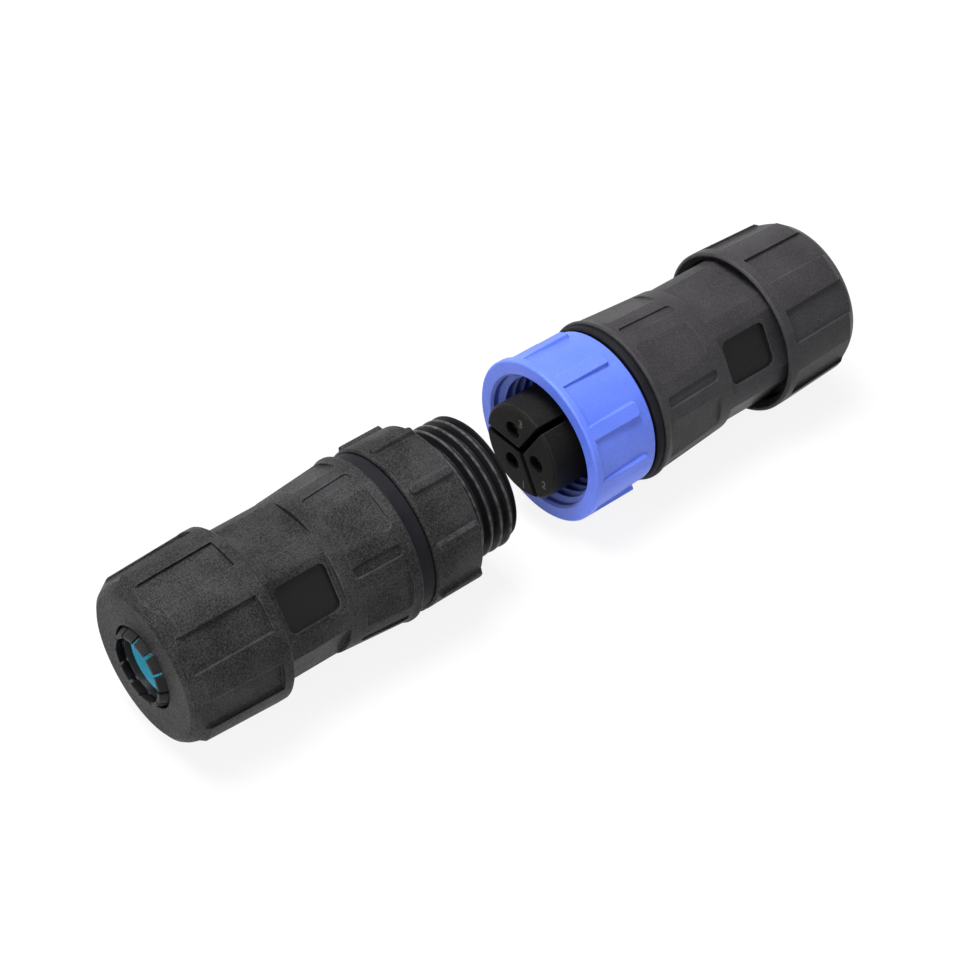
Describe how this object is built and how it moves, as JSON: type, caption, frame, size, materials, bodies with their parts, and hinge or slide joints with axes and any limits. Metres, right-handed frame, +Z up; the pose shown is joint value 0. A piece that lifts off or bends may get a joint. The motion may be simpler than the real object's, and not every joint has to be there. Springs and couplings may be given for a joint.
{
  "type": "waterproof cable connector",
  "caption": "In-line waterproof cable connector shown apart: a threaded male half and a female half with a blue screw ring, each with a cable gland.",
  "frame": {"origin": "bottom centre of the bounding box, under the middle of the two halves as they lie apart", "axes": "+X along the common axis from the male half's cable entry to the female half's, +Z up"},
  "size_m": [0.143, 0.0302, 0.0303],
  "materials": {
    "black_nylon": "fine grained",
    "dark_nylon": "satin",
    "blue_nylon": "satin",
    "black_rubber": "smooth",
    "teal_rubber": "smooth",
    "contact_brass": "polished",
    "steel": "plain"
  },
  "bodies": {
    "male_half": {"male_rear_body": "black_nylon", "male_body_gasket": "black_rubber", "male_front_shell": "black_nylon", "male_insert": "dark_nylon", "male_pin_1": "contact_brass", "male_pin_2": "contact_brass", "male_pin_3": "contact_brass", "male_terminal_screw_1": "steel", "male_terminal_screw_2": "steel", "male_terminal_screw_3": "steel"},
    "male_gland": {"male_clamp_claw": "dark_nylon", "male_cable_seal": "teal_rubber"},
    "male_nut": {"male_gland_nut": "black_nylon"},
    "female_half": {"female_rear_body": "black_nylon", "female_body_gasket": "black_rubber", "female_front_sleeve": "dark_nylon", "face_seal": "black_rubber", "female_insert": "dark_nylon", "female_socket_contact_1": "contact_brass", "female_socket_contact_2": "contact_brass", "female_socket_contact_3": "contact_brass", "female_terminal_screw_1": "steel", "female_terminal_screw_2": "steel", "female_terminal_screw_3": "steel"},
    "ring": {"coupling_ring": "blue_nylon"},
    "female_gland": {"female_clamp_claw": "dark_nylon", "female_cable_seal": "teal_rubber"},
    "female_nut": {"female_gland_nut": "black_nylon"}
  },
  "joints": [
    {"name": "male_gland_slide", "type": "slide", "parent": "male_half", "child": "male_gland", "axis": [-1, 0, 0], "range_m": [-0.001, 0.003]},
    {"name": "male_nut_turn", "type": "hinge", "parent": "male_gland", "child": "male_nut", "pos_m": [-0.0616, 0, 0.01515], "axis": [-1, 0, 0], "range_deg": [-240, 720]},
    {"name": "mate_slide", "type": "slide", "parent": "male_half", "child": "female_half", "axis": [-1, 0, 0], "range_m": [0, 0.023]},
    {"name": "ring_turn", "type": "hinge", "parent": "female_half", "child": "ring", "pos_m": [0.01565, 0, 0.01515], "axis": [-1, 0, 0], "range_deg": [0, 4140]},
    {"name": "female_gland_slide", "type": "slide", "parent": "female_half", "child": "female_gland", "axis": [1, 0, 0], "range_m": [-0.001, 0.003]},
    {"name": "female_nut_turn", "type": "hinge", "parent": "female_gland", "child": "female_nut", "pos_m": [0.0616, 0, 0.01515], "axis": [1, 0, 0], "range_deg": [-240, 720]}
  ],
  "couplings": [
    {"joint": "male_gland_slide", "follows": "male_nut_turn", "m_per_rad": 0.00023873},
    {"joint": "mate_slide", "follows": "ring_turn", "m_per_rad": 0.00031831},
    {"joint": "female_gland_slide", "follows": "female_nut_turn", "m_per_rad": 0.00023873}
  ]
}
